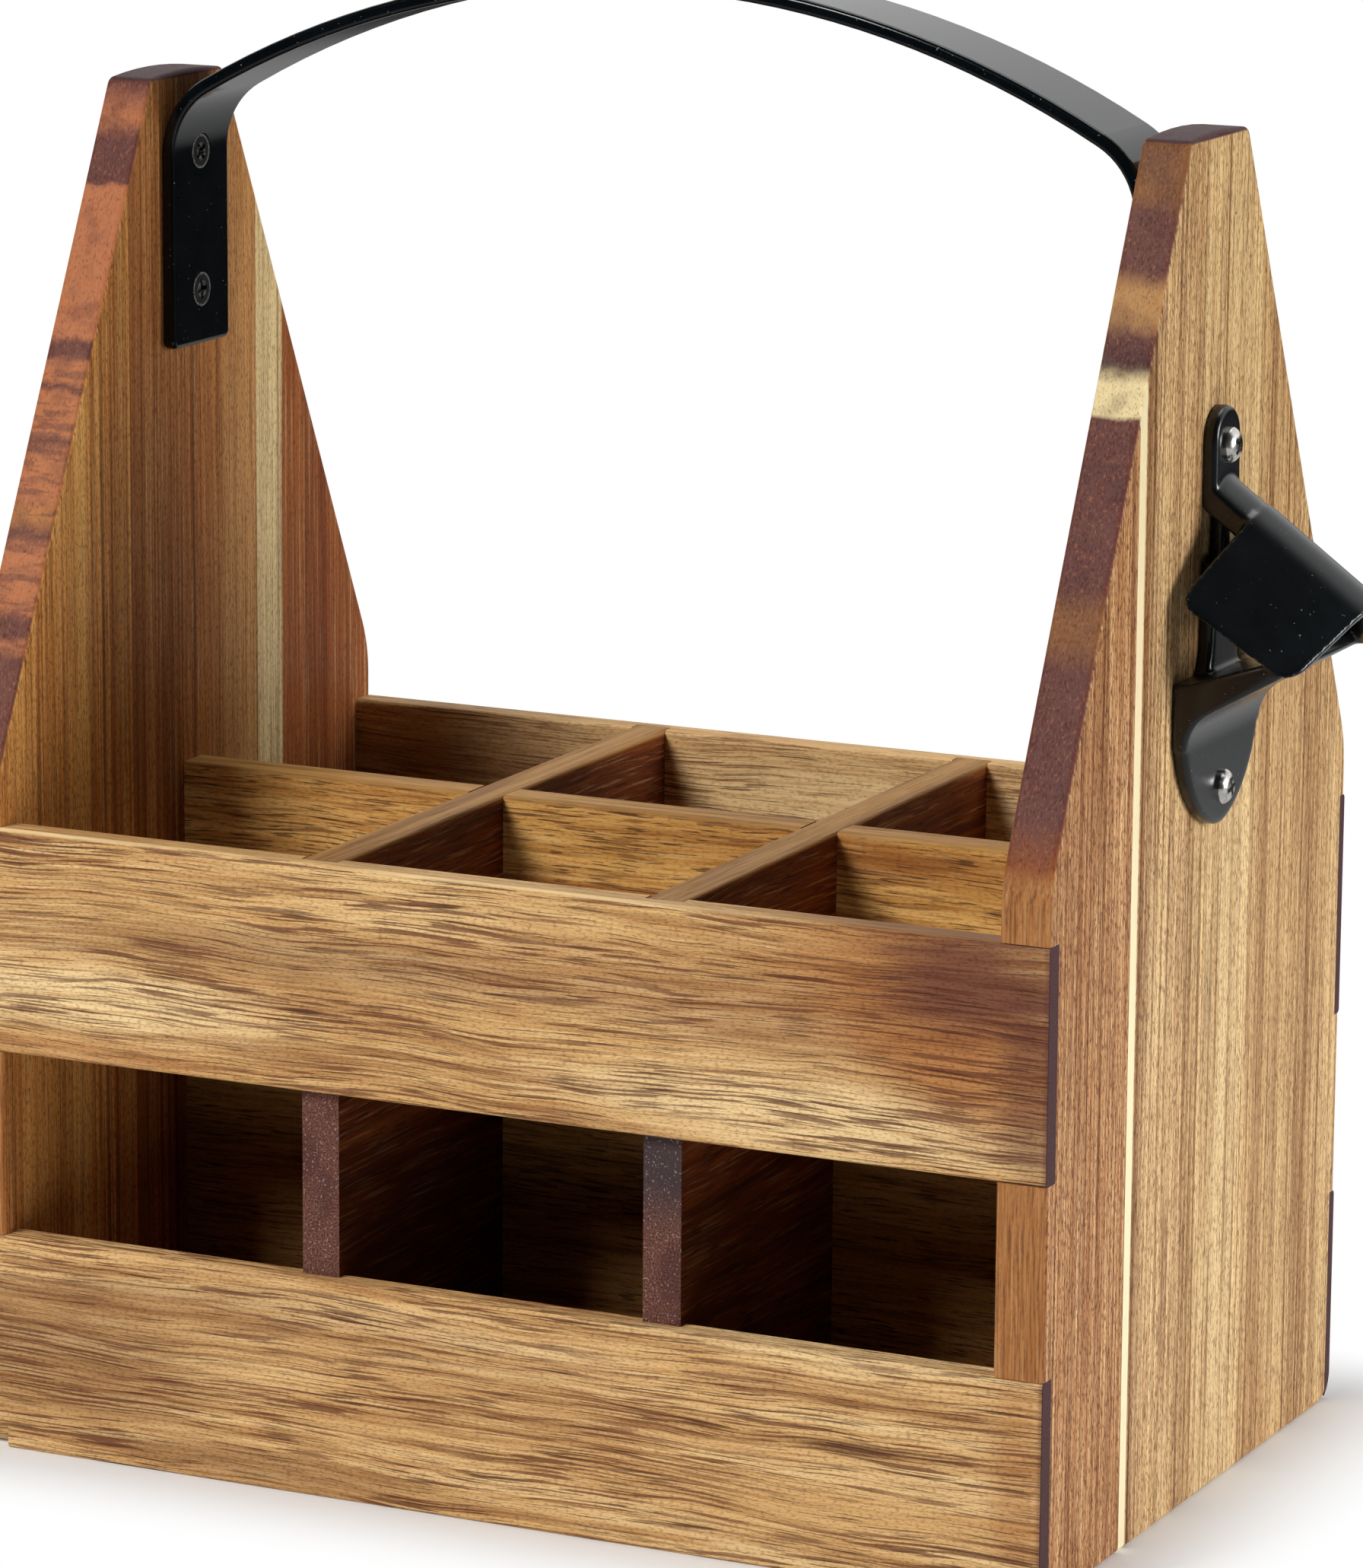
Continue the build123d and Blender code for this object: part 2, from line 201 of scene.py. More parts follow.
# Oiled acacia. Places in the dictionaries of the wood are millimetres in the caddy's frame
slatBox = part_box("front_upper_slat")
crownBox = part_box("right_end_stave_3")
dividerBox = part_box("left_cross_divider")
caddy = {
    "halfLength": slatBox[1][0] * 1000,
    "halfDepth": -slatBox[0][1] * 1000,
    "rim": slatBox[1][2] * 1000,
    "dividerEnd": dividerBox[1][1] * 1000,
    "kink": 155.0,  # the upright edges end here, and the slopes begin
    "shoulder": crownBox[1][2] * 1000 - 1,  # the slopes end here, at the crown's rounds
    "crownHalf": 16.5,  # half the crown's depth, from front to back
    "kinkSoftness": 4.5,
}

wood = {
    "straw": tone(246, 214, 158),
    "golden": tone(224, 180, 120),
    "honey": tone(208, 162, 104),
    "tan": tone(184, 136, 84),
    "amber": tone(176, 114, 62),
    "brown": tone(130, 84, 50),
    "rust": tone(132, 70, 36),
    "umber": tone(76, 42, 26),
    "plum": tone(98, 56, 52),
    "plumDark": tone(70, 38, 40),
    "salmon": tone(178, 108, 70),
    "sapwood": tone(236, 214, 160),
    "sapLine": tone(246, 232, 192),
    "pore": tone(70, 36, 28),
    "line": tone(100, 54, 38),
    "endGrain": tone(72, 52, 52),
    # shade is a tint for painted shade, multiplied over the upper parts of the end panels
    "shade": tone(232, 228, 220),
}

# Each layer of the grain: its noise's detail and roughness, and its shift along the board
grainLayers = {
    "cloud": (3.0, 0.55, 0.0),
    "streak": (3.0, 0.6, 5.0),
    "hair": (2.0, 0.6, 9.0),
    "crowd": (2.0, 0.5, 13.0),
    "dash": (1.0, 0.4, 17.0),
    "line": (1.0, 0.4, 23.0),
    "fine": (1.0, 0.5, 29.0),
    "ragged": (3.0, 0.6, 31.0),
}

# Pairs are the values of a noise where a layer starts to show and where it is full, and
# for a spot the distances from its middle, in its radii
grain = {
    "driftDetail": 2.0, "driftRoughness": 0.45,
    "cloudShare": 0.6,
    "colourStops": (0.36, 0.5, 0.64),
    "pale": (0.46, 0.3),
    "streak": (0.5, 0.74),
    "hair": (0.46, 0.72),
    "fine": (0.5, 0.66),
    "crowd": (0.3, 0.55),
    "lineSoftness": 0.08,
    "dashSoftness": 0.06, "dashCrowding": 0.2,
    "bandWander": 3,
    "spotWander": 1.2, "spot": (1.3, 0.35),
}

oil = {
    "roughness": 0.42, "hairRoughness": 0.14, "dashRoughness": 0.15,
    "relief": 0.0001, "fineRelief": 0.4, "dashRelief": 0.6, "lineRelief": 0.35,
    "level": 0.1,
}


# Along the grain first, then across the board's face, then through it
def grainOrder(direction, x, y, z):
    return {"x": (x, z, y), "y": (y, z, x), "z": (z, y, x)}[direction]


# 1 inside an ellipse on the board's face, fading at an uneven rim
def spot(board, centre, radii):
    u = (board["along"] - centre[0]) / radii[0]
    v = (board["across"] - centre[1]) / radii[1]
    reach = board["place"].joined(u, v, 0.0).length()
    return (reach + (board["ragged"] - 0.5) * grain["spotWander"]).rise(*grain["spot"])


# The board's places in millimetres, straight and bent with the grain, and its grain's layers
def layGrain(place, look, seed):
    x, y, z = (part * 1000 for part in place.parts())
    along, across, through = grainOrder(look["grain"], x, y, z)
    length, width = look["waveLength"], look["waveWidth"]
    drift = place.joined(along / length + seed, across / width, through / width + seed)
    drift = drift.noise(detail=grain["driftDetail"], roughness=grain["driftRoughness"])
    bent = across + (drift - 0.5) * (look["wave"] * 2)
    board = {"place": place, "x": x, "y": y, "z": z}
    board.update({"along": along, "across": across, "bent": bent})
    for layer, (detail, roughness, shift) in grainLayers.items():
        length, width = look[layer + "Length"], look[layer + "Width"]
        spread = place.joined(along / length + (seed + shift), bent / width, through / width)
        board[layer] = spread.noise(detail=detail, roughness=roughness)
    start = look["lineStart"]
    lines = board["line"].rise(start, start + grain["lineSoftness"])
    board["lines"] = lines * board["crowd"].rise(*grain["crowd"])
    start = look["dashStart"]
    dashes = board["dash"] + (board["crowd"] - 0.5) * grain["dashCrowding"]
    board["dashes"] = dashes.rise(start, start + grain["dashSoftness"])
    return board


# Body colour, pale threads, spots, bands and then the dark grain over them
def colourGrain(board, look, own):
    contrast = own.get("contrast", 1.0)
    share = grain["cloudShare"]
    colour = board["cloud"] * share + board["streak"] * (1 - share)
    colour = colour.ramp(list(zip(grain["colourStops"], own["colours"])))
    strength = look["paleStrength"] * contrast
    colour = colour.under(wood["straw"], board["hair"].rise(*grain["pale"]) * strength)
    for centre, radii, tint, strength in own.get("spots", ()):
        colour = colour.under(wood[tint], spot(board, centre, radii) * strength)
    for low, high, soft, tint, strength in own.get("bands", ()):
        wander = (board["streak"] - 0.5) * grain["bandWander"]
        band = (board["bent"] + wander).between(low, high, soft)
        colour = colour.under(wood[tint], band * strength)
    for layer, tint in (("streak", "brown"), ("hair", "tan"), ("fine", "brown")):
        strength = look[layer + "Strength"] * contrast
        colour = colour.under(wood[tint], board[layer].rise(*grain[layer]) * strength, "MULTIPLY")
    colour = colour.under(wood["line"], board["lines"] * (look["lineStrength"] * contrast))
    return colour.under(wood["pore"], board["dashes"] * (look["dashStrength"] * contrast))


# look is how the grain runs, own is one board's colours, bands along it and spots on it
def acacia(name, look, own, finish):
    made, shader, place = newMaterial(name)
    board = layGrain(place, look, own["seed"])
    feed(shader, "Base Color", finish(colourGrain(board, look, own), board, own))
    dashes = board["dashes"]
    roughness = board["hair"] * oil["hairRoughness"] + dashes * oil["dashRoughness"]
    feed(shader, "Roughness", roughness + oil["roughness"])
    height = board["fine"] * -oil["fineRelief"] - dashes * oil["dashRelief"]
    feedBump(shader, height - board["lines"] * oil["lineRelief"], oil["relief"])
    shader.inputs["Specular IOR Level"].default_value = oil["level"]
    return made


# Slats: the grain runs along the caddy in gentle waves
slatLook = {
    "grain": "x",
    "wave": 3.2, "waveLength": 66.0, "waveWidth": 24.0,
    "cloudLength": 120.0, "cloudWidth": 13.0,
    "streakLength": 95.0, "streakWidth": 2.4, "streakStrength": 0.3,
    "hairLength": 30.0, "hairWidth": 0.5, "hairStrength": 0.5, "paleStrength": 0.55,
    "crowdLength": 46.0, "crowdWidth": 7.0,
    "dashLength": 17.0, "dashWidth": 0.36, "dashStart": 0.62, "dashStrength": 0.66,
    "lineLength": 18.0, "lineWidth": 0.56, "lineStart": 0.53, "lineStrength": 0.76,
    "fineLength": 1.2, "fineWidth": 0.4, "fineStrength": 0.36,
    "raggedLength": 34.0, "raggedWidth": 4.0,
}

# Spots are (centre, radii, colour, strength) on the slat's face
slats = {
    "front_upper_slat": {
        "seed": 3.1,
        "colours": (tone(240, 204, 146), tone(218, 174, 114), tone(190, 142, 88)),
        "spots": (
            ((-96.0, 106.5), (52.0, 9.0), "straw", 0.9),
            ((-98.0, 94.5), (46.0, 3.4), "amber", 0.5),
            ((-58.0, 121.0), (76.0, 6.0), "brown", 0.5),
            ((20.0, 124.0), (56.0, 9.0), "rust", 0.3),
            ((80.0, 122.0), (42.0, 13.0), "rust", 0.42),
            ((78.0, 101.0), (62.0, 9.5), "straw", 0.9),
            ((118.0, 114.0), (26.0, 16.0), "amber", 0.7),
            ((108.0, 132.0), (38.0, 20.0), "amber", 0.75),
            ((116.0, 133.5), (26.0, 14.0), "plum", 0.76),
            ((128.0, 112.0), (9.0, 24.0), "plum", 0.55),
        ),
    },
    "front_lower_slat": {
        "seed": 8.4,
        "colours": (wood["straw"], wood["golden"], wood["tan"]),
        "spots": (
            ((-110.0, 24.0), (46.0, 18.0), "brown", 0.5),
            ((-72.0, 40.0), (50.0, 8.0), "brown", 0.35),
            ((-8.0, 37.0), (52.0, 7.0), "tan", 0.35),
            ((92.0, 18.0), (44.0, 13.0), "golden", 0.5),
            ((88.0, 29.4), (13.0, 1.8), "umber", 0.6),
            ((-57.0, 5.0), (48.0, 4.5), "brown", 0.5),
            ((126.0, 26.0), (7.0, 26.0), "amber", 0.5),
        ),
    },
    "rear_upper_slat": {
        "seed": 14.2,
        "colours": (tone(250, 218, 162), tone(236, 196, 138), tone(214, 170, 114)),
        "contrast": 0.85,
        "spots": (
            ((-96.0, 122.0), (46.0, 24.0), "brown", 0.7),
            ((30.0, 126.0), (60.0, 7.0), "straw", 0.3),
        ),
    },
    "rear_lower_slat": {
        "seed": 21.7,
        "colours": (wood["golden"], wood["tan"], wood["brown"]),
        "spots": (((40.0, 30.0), (50.0, 9.0), "amber", 0.5),),
    },
}

# Pairs are how far before the rim, the face or the end a finish starts and is full.
# The sides are places along the slat, and the patches values of a noise
slatEdges = {
    "top": (0.3, 0.1), "topStrength": 0.4,
    "brownSide": (60.0, 95.0), "brownStrength": 0.6,
    "wearSheenFace": (1.2, 0.5), "wearSheenRim": (1.0, 0.3), "wearSheenPatches": (0.4, 0.6),
    "wearSheenSide": (90.0, 20.0), "wearSheenStrength": 0.8,
    # Painted shade: a plum band in the last millimetres of each slat, where it meets the end
    # panels
    "shade": (1.6, 0.3), "shadeStrength": 0.5,
    "endGrain": (0.3, 0.1), "speckScale": 2300,
    "endStops": ((0.36, wood["plumDark"]), (0.62, wood["endGrain"])),
}


# Golden upper edges, brown at the right, a lighter front edge at the left that is wear with
# painted sheen, painted shade near the two ends, and end grain at the ends
def slatFinish(colour, board, own):
    top = board["z"].nearing(caddy["rim"], *slatEdges["top"])
    brown = top * board["x"].rise(*slatEdges["brownSide"])
    # The lighter front top edge is edge wear with a painted sheen on the eased edge
    worn = abs(board["y"]).nearing(caddy["halfDepth"], *slatEdges["wearSheenFace"])
    worn = worn * board["z"].nearing(caddy["rim"], *slatEdges["wearSheenRim"])
    worn = worn * board["streak"].rise(*slatEdges["wearSheenPatches"])
    worn = worn * board["x"].rise(*slatEdges["wearSheenSide"])
    colour = colour.under(wood["golden"], top * slatEdges["topStrength"])
    colour = colour.under(wood["brown"], brown * slatEdges["brownStrength"])
    colour = colour.under(wood["straw"], worn * slatEdges["wearSheenStrength"])
    # Painted shade near the two ends, beside the end panels
    reach = abs(board["x"])
    shade = reach.nearing(caddy["halfLength"], *slatEdges["shade"])
    colour = colour.under(wood["plum"], shade * slatEdges["shadeStrength"])
    speck = board["place"].noise(scale=slatEdges["speckScale"], detail=2.0, roughness=0.6)
    ends = speck.ramp(slatEdges["endStops"])
    return colour.under(ends, reach.nearing(caddy["halfLength"], *slatEdges["endGrain"]))


def dressSlats():
    for name, own in slats.items():
        dress(name, acacia(name, slatLook, own, slatFinish))


# End panels: upright staves, each with its own colour
staveLook = {
    "grain": "z",
    "wave": 0.8, "waveLength": 130.0, "waveWidth": 24.0,
    "cloudLength": 420.0, "cloudWidth": 9.0,
    "streakLength": 380.0, "streakWidth": 1.6, "streakStrength": 0.58,
    "hairLength": 40.0, "hairWidth": 0.5, "hairStrength": 0.58, "paleStrength": 0.4,
    "crowdLength": 46.0, "crowdWidth": 7.0,
    "dashLength": 4.5, "dashWidth": 0.45, "dashStart": 0.62, "dashStrength": 0.45,
    "lineLength": 90.0, "lineWidth": 0.8, "lineStart": 0.55, "lineStrength": 0.42,
    "fineLength": 1.4, "fineWidth": 0.45, "fineStrength": 0.55,
    "raggedLength": 22.0, "raggedWidth": 3.0,
}

# Bands are (low, high, softness, colour, strength) across the panel, and knots (y, z, radius).
# A stave's sapwood lies in front of the given y, and its glued seam at the seam's y
staves = {
    "right_end_stave_1": {
        "seed": 51.2,
        "colours": (tone(202, 156, 110), tone(184, 136, 92), tone(150, 104, 66)),
        "contrast": 1.3,
        "seam": -42.5,
    },
    "right_end_stave_2": {
        "seed": 58.8,
        "colours": (tone(232, 200, 150), tone(212, 178, 130), tone(168, 130, 88)),
        "contrast": 1.15,
        "bands": (
            (-38.2, -35.6, 0.4, "brown", 0.6),
            (-34.6, -33.4, 0.4, "brown", 0.5),
            (-32.0, -31.2, 0.3, "brown", 0.4),
            (-28.0, -22.0, 1.5, "straw", 0.35),
        ),
        "sapwood": -38.9,
        "seam": -7.5,
    },
    "right_end_stave_3": {
        "seed": 63.1,
        "colours": (tone(228, 200, 150), tone(210, 178, 128), tone(180, 144, 98)),
        "bands": ((21.5, 26.0, 1.2, "straw", 0.5), (-3.0, 1.0, 1.2, "straw", 0.35)),
        "knots": ((22.5, 287.0, 1.3), (9.3, 283.3, 0.7)),
        "seam": 27.0,
    },
    "right_end_stave_4": {
        "seed": 69.6,
        "colours": (tone(222, 190, 138), tone(204, 168, 118), tone(164, 124, 82)),
        "bands": (
            (34.0, 37.0, 1.0, "brown", 0.4),
            (58.0, 62.0, 1.6, "brown", 0.35),
            (76.0, 80.0, 1.4, "straw", 0.3),
        ),
        "seam": 95.0,
    },
    "left_end_stave_1": {
        "seed": 31.0,
        "colours": (tone(255, 200, 116), tone(244, 174, 94), tone(196, 126, 64)),
        "contrast": 0.9,
        "bands": ((-37.0, -29.0, 1.2, "amber", 0.5), (-41.0, -39.6, 0.5, "umber", 0.6)),
        "seam": -27.5,
    },
    "left_end_stave_2": {
        "seed": 37.3,
        "colours": (tone(206, 144, 82), tone(184, 122, 66), tone(146, 90, 46)),
        "contrast": 0.85,
        "bands": (
            (-27.5, -21.8, 0.8, "amber", 0.6),
            (5.0, 10.5, 1.6, "amber", 0.4),
            (14.0, 34.0, 3.5, "honey", 0.6),
        ),
        "seam": 30.5,
    },
    "left_end_stave_3": {
        "seed": 42.9,
        "colours": (tone(170, 104, 56), tone(148, 86, 44), tone(112, 60, 30)),
        "contrast": 0.7,
        "bands": ((63.0, 66.0, 1.0, "rust", 0.6), (25.0, 42.3, 0.5, "sapwood", 0.92)),
        "seam": 95.0,
    },
}

# Colours up the sloped front edge of each end panel, from the lowest place to the crown.
# A ramp holds 32 stops at most
edgeZones = {
    "right": (
        (153, "amber"), (159, "rust"), (168, "plum"), (196, "plum"), (202, "brown"),
        (207, "brown"), (213, "plum"), (245.6, "plum"), (246.4, "sapwood"), (252.5, "sapwood"),
        (256, "plumDark"), (262, "plum"), (265, "tan"), (271, "tan"), (275, "plum"),
        (286, "plum"), (290, "brown"), (300, "brown"),
    ),
    "left": (
        (153, "brown"), (160, "plum"), (178, "plum"), (181, "salmon"), (183, "plum"),
        (186, "plum"), (188, "salmon"), (201, "salmon"), (204, "plum"), (208, "amber"),
        (211, "salmon"), (221, "salmon"), (223.5, "plum"), (225.5, "salmon"), (233.5, "salmon"),
        (235, "plum"), (236.5, "salmon"), (240, "salmon"), (241.5, "plum"), (244.5, "plum"),
        (246, "salmon"), (278, "salmon"), (278.6, "plum"), (288, "plum"), (293, "salmon"),
        (300, "plum"),
    ),
}

staveMarks = {
    "sapLean": 0.2, "sapWander": 1.6, "sapSoftness": 0.3, "sapStrength": 0.94,
    "knotSquash": 1.4, "knotCore": 0.3, "knotStrength": 0.8,
    # Heights where the painted shade on each panel starts and where it is full
    "shade": {"right": (60.0, 260.0), "left": (190.0, 290.0)},
    "seam": (0.4, 0.1), "seamStrength": 0.55,
}


# On the faces: leaning sapwood, knots, painted shade darkening each panel towards the crown, and
# the glued seam
def markStave(colour, board, own):
    y, z = board["y"], board["z"]
    if "sapwood" in own:
        lean = (caddy["halfLength"] - board["x"]) * staveMarks["sapLean"]
        limit = y - lean + (board["streak"] - 0.5) * staveMarks["sapWander"]
        soft = staveMarks["sapSoftness"]
        sapwood = limit.rise(own["sapwood"] + soft, own["sapwood"] - soft)
        colour = colour.under(wood["sapLine"], sapwood * staveMarks["sapStrength"])
    for knotY, knotZ, radius in own.get("knots", ()):
        height = (z - knotZ) * staveMarks["knotSquash"]
        far = board["place"].joined(y - knotY, height, 0.0).length()
        knot = far.rise(radius, radius * staveMarks["knotCore"])
        colour = colour.under(wood["umber"], knot * staveMarks["knotStrength"])
    # Painted shade: the panel is darkened towards its top, where the lamps light it more
    colour = colour.under(wood["shade"], z.rise(*staveMarks["shade"][own["side"]]), "MULTIPLY")
    seam = abs(y - own["seam"]).rise(*staveMarks["seam"])
    return colour.under(wood["brown"], seam * staveMarks["seamStrength"], "MULTIPLY")


# Pairs are the value of a noise, or the place, where a mark starts and where it is full
panelEdge = {
    "depth": (-0.75, -0.25),
    "zoneLength": 5, "zoneWidth": 9, "zoneWander": 4,
    "cloudScale": 130, "cloud": (0.5, 0.68), "cloudStrength": 0.35,
    "stripeSize": (9, 14, 1.9),  # along x, y and z
    "stripe": (0.47, 0.62), "stripeHeight": (262.0, 232.0), "stripeStrength": 0.6,
    "fleckLength": 1.6, "fleckWidth": 0.5,
    "paleFleck": (0.58, 0.68), "paleStrength": 0.4,
    "darkFleck": (0.42, 0.32), "darkStrength": 0.45,
    "facing": (-2.0, 2.0),
    "rearStops": ((0.35, wood["plumDark"]), (0.5, wood["plum"]), (0.62, wood["amber"])),
    "kinkBlend": 3, "slopeStrength": 0.95,
    "uprightLength": 12, "uprightStrength": 0.75,
    "uprightStops": ((0.36, wood["brown"]), (0.5, wood["amber"]), (0.7, wood["tan"])),
    "crown": (0.7, 0.2),  # before the shoulder
    "crownStops": ((0.35, wood["plumDark"]), (0.6, wood["endGrain"])),
}


# Depth below the sloped and upright edges of an end panel: 0 on the surface
def panelDepth(board):
    width = caddy["halfDepth"] - caddy["crownHalf"]
    height = caddy["shoulder"] - caddy["kink"]
    length = math.hypot(width, height)
    side = abs(board["y"]) - caddy["halfDepth"]
    slope = side * (height / length) + (board["z"] - caddy["kink"]) * (width / length)
    return side.maths("SMOOTH_MAX", slope, caddy["kinkSoftness"])


# The zones up a slope, with limits that wander a little
def zoneColour(board, zones):
    length, width = panelEdge["zoneLength"], panelEdge["zoneWidth"]
    place = board["place"].joined(board["x"] / length, board["y"] / width, board["z"] / length)
    wander = (place.noise(detail=3.0, roughness=0.6) - 0.5) * panelEdge["zoneWander"]
    low, high = zones[0][0], zones[-1][0]
    wander = wander * board["z"].between(low, caddy["shoulder"], 1.0)
    height = (board["z"] + wander - low) / (high - low)
    return height.ramp([((level - low) / (high - low), wood[tint]) for level, tint in zones])


def edgeFlecks(board, length):
    width = panelEdge["fleckWidth"]
    place = board["place"].joined(board["z"] / length, board["y"] / width, board["x"] / width)
    return place.noise(detail=2.0)


# The zones with dark clouds and flecks, and at the left with dark stripes low down
def frontSlope(board, side, flecks):
    cloud = board["place"].noise(scale=panelEdge["cloudScale"], detail=2.0)
    cloud = cloud.rise(*panelEdge["cloud"]) * panelEdge["cloudStrength"]
    front = zoneColour(board, edgeZones[side]).under(wood["plumDark"], cloud)
    if side == "left":
        x, y, z = (board[axis] / size for axis, size in zip("xyz", panelEdge["stripeSize"]))
        stripe = board["place"].joined(z, y, x).noise(detail=3.0, roughness=0.6)
        stripe = stripe.rise(*panelEdge["stripe"]) * board["z"].rise(*panelEdge["stripeHeight"])
        front = front.under(wood["plum"], stripe * panelEdge["stripeStrength"])
    pale = flecks.rise(*panelEdge["paleFleck"]) * panelEdge["paleStrength"]
    dark = flecks.rise(*panelEdge["darkFleck"]) * panelEdge["darkStrength"]
    return front.under(wood["salmon"], pale).under(wood["pore"], dark)


# Colour zones on the front slope, a plainer rear slope and upright edges, end grain on the crown
def markEdges(colour, board, side):
    edge = panelDepth(board).rise(*panelEdge["depth"])
    flecks = edgeFlecks(board, panelEdge["fleckLength"])
    rear = flecks.ramp(panelEdge["rearStops"])
    slope = frontSlope(board, side, flecks).under(rear, board["y"].rise(*panelEdge["facing"]))
    blend = panelEdge["kinkBlend"]
    upper = board["z"].rise(caddy["kink"] - blend, caddy["kink"] + blend)
    colour = colour.under(slope, edge * upper * panelEdge["slopeStrength"])
    upright = edgeFlecks(board, panelEdge["uprightLength"]).ramp(panelEdge["uprightStops"])
    colour = colour.under(upright, edge * (1 - upper) * panelEdge["uprightStrength"])
    ends = flecks.ramp(panelEdge["crownStops"])
    return colour.under(ends, board["z"].nearing(caddy["shoulder"], *panelEdge["crown"]))


def staveFinish(colour, board, own):
    return markEdges(markStave(colour, board, own), board, own["side"])


def dressStaves():
    for name, own in staves.items():
        own["side"] = name.split("_")[0]
        dress(name, acacia(name, staveLook, own, staveFinish))


# Dividers and floor boards, redder, with painted shade in the darker colours of the cross
# dividers and floor boards
insideLook = {
    "wave": 2.0, "waveLength": 60.0, "waveWidth": 20.0,
    "cloudLength": 90.0, "cloudWidth": 11.0,
    "streakLength": 90.0, "streakWidth": 2.6, "streakStrength": 0.35,
    "hairLength": 22.0, "hairWidth": 0.7, "hairStrength": 0.5, "paleStrength": 0.25,
    "crowdLength": 46.0, "crowdWidth": 7.0,
    "dashLength": 9.0, "dashWidth": 0.5, "dashStart": 0.6, "dashStrength": 0.7,
    "lineLength": 16.0, "lineWidth": 0.9, "lineStart": 0.55, "lineStrength": 0.5,
    "fineLength": 1.4, "fineWidth": 0.45, "fineStrength": 0.28,
    "raggedLength": 30.0, "raggedWidth": 4.0,
}

# The cross dividers' colours are redder wood darkened with painted shade, for their shaded faces
shadedCrossColours = (tone(158, 92, 46), tone(124, 62, 30), tone(88, 44, 26))
# The floor boards' colours, here and for the middle board below, are darkened with painted shade
shadedOuterFloorColours = (wood["rust"], tone(98, 52, 30), wood["umber"])
insides = {
    "long_divider": ("x", 75.0, (tone(244, 190, 110), tone(224, 168, 92), tone(190, 128, 66))),
    "left_cross_divider": ("y", 81.4, shadedCrossColours),
    "right_cross_divider": ("y", 88.9, shadedCrossColours),
    "front_floor_board": ("x", 93.0, shadedOuterFloorColours),
    "middle_floor_board": ("x", 96.5, (wood["brown"], tone(104, 56, 32), wood["umber"])),
    "rear_floor_board": ("x", 99.2, shadedOuterFloorColours),
}

# The painted shade in the cells starts below the first pair's heights and stops above the floor
# boards
insideEdges = {
    "paintedShadeFrom": (112.0, 56.0), "paintedShadeTo": (7.5, 9.0), "paintedShadeStrength": 0.62,
    "rim": (1.2, 0.4), "rimStrength": 0.85,
    "rimStops": ((0.4, tone(190, 144, 80)), (0.6, tone(150, 106, 56))),
    "endGrain": (0.3, 0.1), "speckScale": 2400,
    "endStops": ((0.36, wood["plumDark"]), (0.5, tone(102, 66, 56)), (0.66, tone(132, 90, 72))),
    "cloudScale": 90, "cloud": (0.44, 0.6), "cloudStrength": 0.5,
    "grey": tone(60, 54, 58), "greyHeight": (66.0, 84.0), "greySide": (0.0, 10.0),
    "greyStrength": 0.8,
    "dust": tone(176, 156, 146), "dustScale": 1900, "dustPatches": (0.64, 0.7),
    "dustStrength": 0.55,
}


# End grain of the cross dividers, which shows between the slats
def dividerEnds(board):
    place = board["place"]
    speck = place.noise(scale=insideEdges["speckScale"], detail=2.0, roughness=0.6)
    ends = speck.ramp(insideEdges["endStops"])
    cloud = place.noise(scale=insideEdges["cloudScale"], detail=1.0).rise(*insideEdges["cloud"])
    ends = ends.under(wood["plumDark"], cloud * insideEdges["cloudStrength"])
    grey = board["z"].rise(*insideEdges["greyHeight"]) * board["x"].rise(*insideEdges["greySide"])
    ends = ends.under(insideEdges["grey"], grey * insideEdges["greyStrength"])
    dust = place.noise(scale=insideEdges["dustScale"], detail=1.0)
    dust = dust.rise(*insideEdges["dustPatches"])
    return ends.under(insideEdges["dust"], dust * insideEdges["dustStrength"])


# Painted shade darkening towards the floor of the cells, with lighter upper edges and end grain
def insideFinish(colour, board, own):
    paintedShade = board["z"].rise(*insideEdges["paintedShadeFrom"]) * board["z"].rise(*insideEdges["paintedShadeTo"])
    colour = colour.under(wood["umber"], paintedShade * insideEdges["paintedShadeStrength"], "MULTIPLY")
    rim = board["streak"].ramp(insideEdges["rimStops"])
    upper = board["z"].nearing(caddy["rim"], *insideEdges["rim"])
    colour = colour.under(rim, upper * insideEdges["rimStrength"])
    atEnd = abs(board["y"]).nearing(caddy["dividerEnd"], *insideEdges["endGrain"])
    return colour.under(dividerEnds(board), atEnd)


def dressInside():
    for name, (direction, seed, colours) in insides.items():
        look = {**insideLook, "grain": direction}
        dress(name, acacia(name, look, {"seed": seed, "colours": colours}, insideFinish))


dressSlats()
dressStaves()
dressInside()
print("wood done")


# Black coating with a few specks of dust, the same on the opener and the strap
coat = {
    "cloudScale": 120, "cloudStops": ((0.3, tone(3, 6, 8)), (0.7, tone(8, 13, 16))),
    "unevenness": 0.08,
    "grainScale": 2600, "relief": 0.000004,
    "dust": tone(120, 120, 118), "dustScale": 1700, "dustSpecks": (0.82, 0.86),
    "dustStrength": 0.7, "dustRoughness": 0.4,
}


def blackCoat(name, roughness, level):
    made, shader, place = newMaterial(name)
    cloud = place.noise(scale=coat["cloudScale"], detail=3.0, roughness=0.6)
    grainy = place.noise(scale=coat["grainScale"], detail=1.0)
    dust = place.noise(scale=coat["dustScale"], detail=0.0).rise(*coat["dustSpecks"])
    colour = cloud.ramp(coat["cloudStops"])
    smooth = roughness - coat["unevenness"] / 2
    feed(shader, "Base Color", colour.under(coat["dust"], dust * coat["dustStrength"]))
    feed(shader, "Roughness", cloud * coat["unevenness"] + dust * coat["dustRoughness"] + smooth)
    feedBump(shader, grainy, coat["relief"])
    shader.inputs["Specular IOR Level"].default_value = level
    return made


# Bottle opener: a casting with every edge and inner corner softened
opener = {
    "weld": 0.00001,
    "voxel": 0.00045,
    "softness": 0.5,
    "smoothing": 14,
    "roughness": 0.26,
    "level": 0.5,
}


